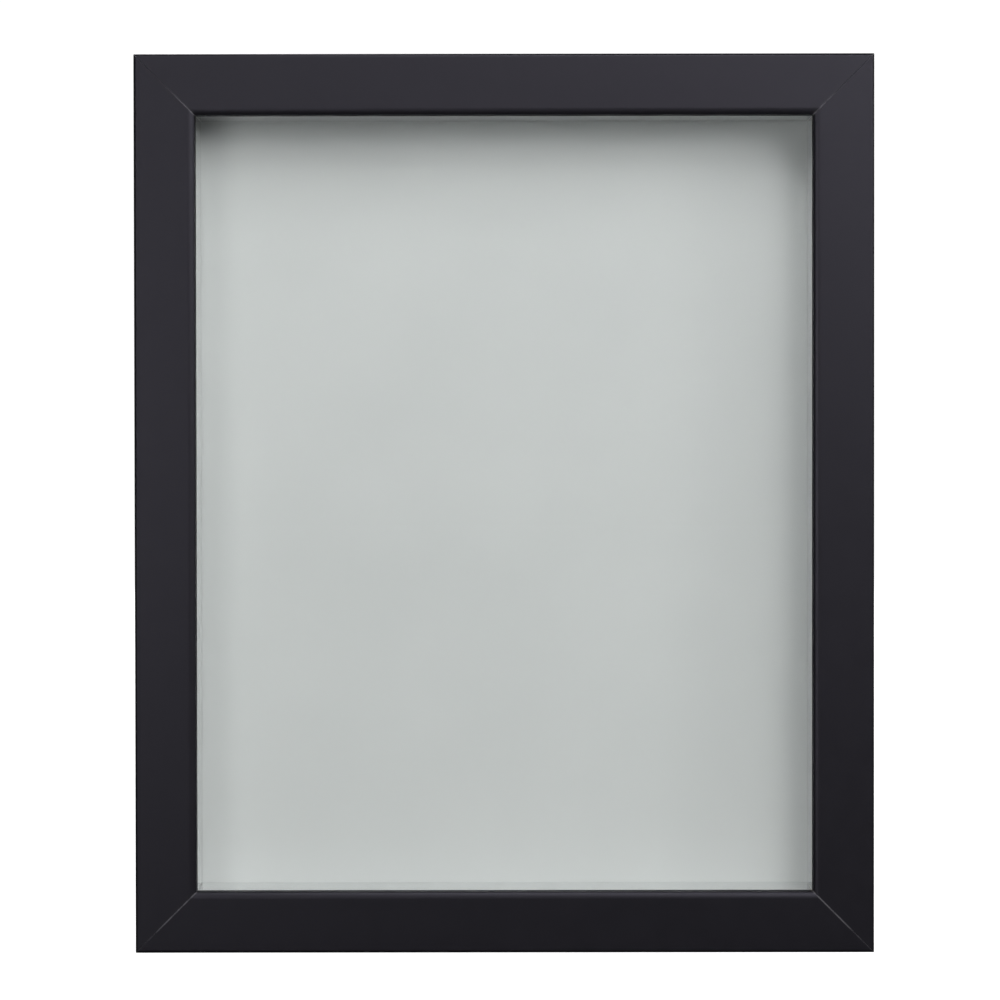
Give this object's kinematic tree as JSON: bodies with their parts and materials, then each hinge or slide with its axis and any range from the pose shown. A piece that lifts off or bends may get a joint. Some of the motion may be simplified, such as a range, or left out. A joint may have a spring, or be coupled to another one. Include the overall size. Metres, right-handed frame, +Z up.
{
  "type": "shadow box",
  "caption": "Rear-loading shadow box: black mitred moulding, glazed front, deep empty case, lift-out back held by turn buttons, D-ring hangers.",
  "frame": {"origin": "middle of the moulding's underside: halfway along its width and halfway through its depth", "axes": "+X to the right seen from the front, +Y from the front to the back, +Z up"},
  "size_m": [0.236, 0.0379, 0.2868],
  "materials": {
    "moulding": "satin",
    "v_nail": "satin",
    "glass": "gloss",
    "spacer": "matte",
    "display_board": "matte",
    "back_panel": "matte",
    "turn_button": "satin",
    "screw": "satin",
    "hanger": "satin",
    "bumper": "matte"
  },
  "bodies": {
    "frame": {"top_rail": "moulding", "bottom_rail": "moulding", "left_rail": "moulding", "right_rail": "moulding", "bottom_left_outer_v_nail": "v_nail", "bottom_left_inner_v_nail": "v_nail", "bottom_right_outer_v_nail": "v_nail", "bottom_right_inner_v_nail": "v_nail", "top_right_outer_v_nail": "v_nail", "top_right_inner_v_nail": "v_nail", "top_left_outer_v_nail": "v_nail", "top_left_inner_v_nail": "v_nail", "glazing": "glass", "top_spacer": "spacer", "bottom_spacer": "spacer", "left_spacer": "spacer", "right_spacer": "spacer", "display_board": "display_board", "back_panel": "back_panel", "bottom_button_screw": "screw", "top_button_screw": "screw", "left_upper_button_screw": "screw", "left_lower_button_screw": "screw", "right_upper_button_screw": "screw", "right_lower_button_screw": "screw", "left_hanger_strap": "hanger", "left_hanger_screw": "screw", "right_hanger_strap": "hanger", "right_hanger_screw": "screw", "left_wall_bumper": "bumper", "right_wall_bumper": "bumper"},
    "bottom_turn_button": {"bottom_turn_button": "turn_button"},
    "top_turn_button": {"top_turn_button": "turn_button"},
    "left_upper_turn_button": {"left_upper_turn_button": "turn_button"},
    "left_lower_turn_button": {"left_lower_turn_button": "turn_button"},
    "right_upper_turn_button": {"right_upper_turn_button": "turn_button"},
    "right_lower_turn_button": {"right_lower_turn_button": "turn_button"},
    "left_hanger_ring": {"left_hanger_ring": "hanger"},
    "right_hanger_ring": {"right_hanger_ring": "hanger"}
  },
  "joints": [
    {"name": "bottom_button_turn", "type": "hinge", "parent": "frame", "child": "bottom_turn_button", "pos_m": [0, 0.0172, 0.0075], "axis": [0, 1, 0], "range_deg": [-90, 90]},
    {"name": "top_button_turn", "type": "hinge", "parent": "frame", "child": "top_turn_button", "pos_m": [0, 0.0172, 0.2793], "axis": [0, 1, 0], "range_deg": [-90, 90]},
    {"name": "left_upper_button_turn", "type": "hinge", "parent": "frame", "child": "left_upper_turn_button", "pos_m": [-0.1105, 0.0172, 0.2384], "axis": [0, 1, 0], "range_deg": [-90, 90]},
    {"name": "left_lower_button_turn", "type": "hinge", "parent": "frame", "child": "left_lower_turn_button", "pos_m": [-0.1105, 0.0172, 0.0484], "axis": [0, 1, 0], "range_deg": [-90, 90]},
    {"name": "right_upper_button_turn", "type": "hinge", "parent": "frame", "child": "right_upper_turn_button", "pos_m": [0.1105, 0.0172, 0.2384], "axis": [0, 1, 0], "range_deg": [-90, 90]},
    {"name": "right_lower_button_turn", "type": "hinge", "parent": "frame", "child": "right_lower_turn_button", "pos_m": [0.1105, 0.0172, 0.0484], "axis": [0, 1, 0], "range_deg": [-90, 90]},
    {"name": "left_ring_swing", "type": "hinge", "parent": "frame", "child": "left_hanger_ring", "pos_m": [-0.1098, 0.01885, 0.2014], "axis": [1, 0, 0], "range_deg": [0, 180]},
    {"name": "right_ring_swing", "type": "hinge", "parent": "frame", "child": "right_hanger_ring", "pos_m": [0.1098, 0.01885, 0.2014], "axis": [1, 0, 0], "range_deg": [0, 180]}
  ]
}
